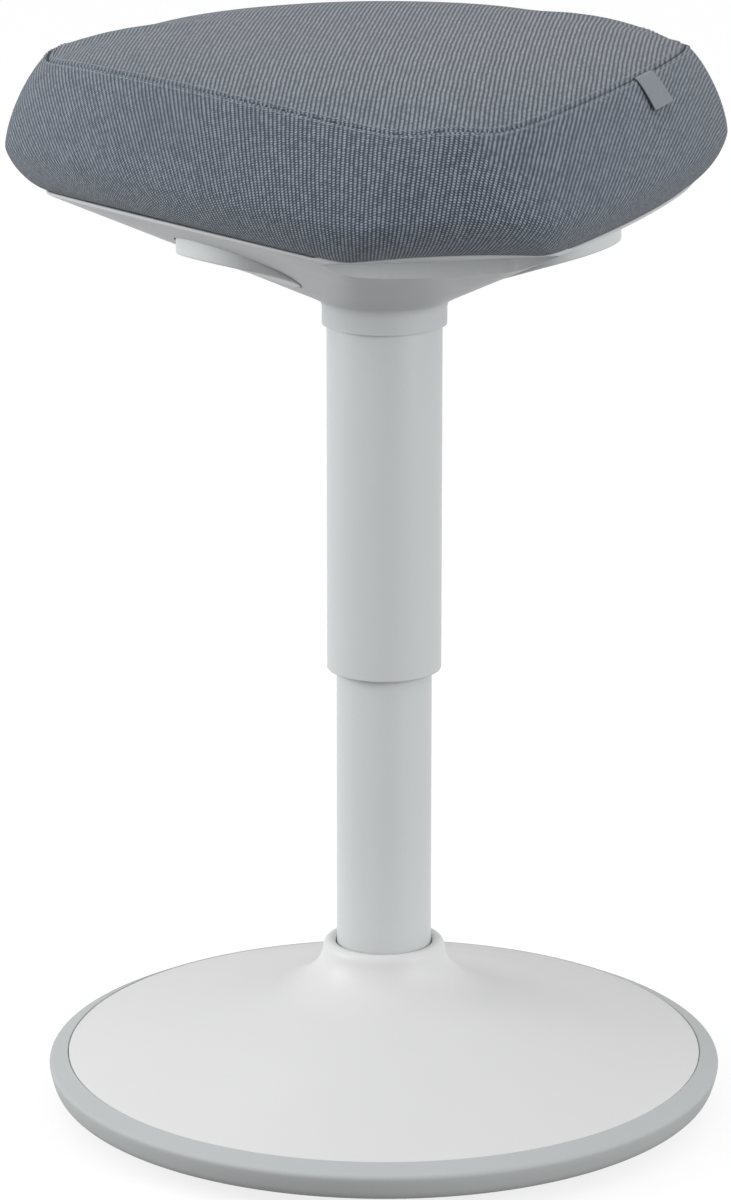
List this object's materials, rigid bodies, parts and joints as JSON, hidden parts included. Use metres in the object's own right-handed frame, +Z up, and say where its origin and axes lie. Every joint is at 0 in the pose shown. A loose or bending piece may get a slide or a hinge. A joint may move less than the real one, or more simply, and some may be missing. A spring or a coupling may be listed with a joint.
{
  "type": "wobble stool",
  "caption": "Height-adjustable wobble stool: heavy round foot with a domed sole, telescopic column and a rounded three-lobed woven cushion with release paddles under it.",
  "frame": {"origin": "centre of the flat middle of the rubber sole, on the floor", "axes": "+Z up along the column, -Y towards the seat's front lobe, +X to the right of someone who sits facing the front"},
  "size_m": [0.3788, 0.3789, 0.578],
  "materials": {
    "sole_rubber": "matt moulded rubber",
    "ring_rubber": "matt light grey moulded rubber",
    "dish_plastic": "fine satin texture, pale warm grey",
    "shell_plastic": "fine satin texture, light grey",
    "paddle_plastic": "satin, light grey",
    "inner_plastic": "dark moulded plastic",
    "tube_paint": "satin powder coat, silver grey",
    "black_steel": "black powder coat",
    "bright_steel": "plain steel",
    "ballast_iron": "rough cast, dark",
    "plywood": "plain plywood",
    "foam": "moulded seat foam",
    "cover_fabric": "ribbed woven cover, blue grey with light flecks",
    "label_tape": "plain folded tape"
  },
  "bodies": {
    "base": {"rocker_sole": "sole_rubber", "rim_ring": "ring_rubber", "base_pan": "inner_plastic", "ballast_disc": "ballast_iron", "base_dish": "dish_plastic", "dish_screw_1": "bright_steel", "dish_screw_2": "bright_steel", "dish_screw_3": "bright_steel", "column_socket": "black_steel", "socket_bolt_1": "bright_steel", "socket_bolt_2": "bright_steel", "socket_bolt_3": "bright_steel", "socket_bolt_4": "bright_steel", "column_tube": "tube_paint", "guide_bush": "inner_plastic", "bearing_lower_race": "bright_steel", "bearing_ball_cage": "bright_steel"},
    "piston": {"bearing_upper_race": "bright_steel", "piston_rod": "bright_steel", "rod_clip": "black_steel", "rod_buffer": "sole_rubber", "piston_head": "black_steel", "piston_nut": "bright_steel"},
    "seat": {"gas_cylinder": "black_steel", "rod_seal": "inner_plastic", "outer_sleeve": "tube_paint", "sleeve_glide": "inner_plastic", "seat_shell": "shell_plastic", "shell_screw_1": "bright_steel", "shell_screw_2": "bright_steel", "shell_screw_3": "bright_steel", "seat_board": "plywood", "mechanism_tray": "black_steel", "tray_screw_1": "bright_steel", "tray_screw_2": "bright_steel", "tray_screw_3": "bright_steel", "tray_screw_4": "bright_steel", "taper_socket": "black_steel", "foam_pad": "foam", "cover_side_band": "cover_fabric", "cover_top_panel": "cover_fabric", "side_label": "label_tape", "pivot_pin_left": "bright_steel", "pivot_pin_right": "bright_steel"},
    "lever_left": {"paddle_left": "paddle_plastic", "lever_arm_left": "bright_steel", "paddle_screw_left": "bright_steel"},
    "lever_right": {"paddle_right": "paddle_plastic", "lever_arm_right": "bright_steel", "paddle_screw_right": "bright_steel"},
    "valve": {"valve_pin": "bright_steel"}
  },
  "joints": [
    {"name": "seat_swivel", "type": "hinge", "parent": "base", "child": "piston", "pos_m": [0, 0, 0.05], "axis": [0, 0, 1], "continuous": true},
    {"name": "height_lift", "type": "slide", "parent": "piston", "child": "seat", "axis": [0, 0, 1], "range_m": [-0.08, 0.07]},
    {"name": "left_paddle_lift", "type": "hinge", "parent": "seat", "child": "lever_left", "pos_m": [-0.03464, -0.02, 0.48673], "axis": [-0.5, 0.866, 0], "range_deg": [0, 4.5], "stiffness_Nm_per_rad": 2, "springref_deg": -5.73},
    {"name": "right_paddle_lift", "type": "hinge", "parent": "seat", "child": "lever_right", "pos_m": [0.03464, -0.02, 0.48673], "axis": [-0.5, -0.866, 0], "range_deg": [0, 4.5]},
    {"name": "valve_press", "type": "slide", "parent": "seat", "child": "valve", "axis": [0, 0, -1], "range_m": [0, 0.0027]}
  ],
  "couplings": [
    {"joint": "right_paddle_lift", "follows": "left_paddle_lift", "ratio": 1},
    {"joint": "valve_press", "follows": "left_paddle_lift", "m_per_rad": 0.033}
  ]
}
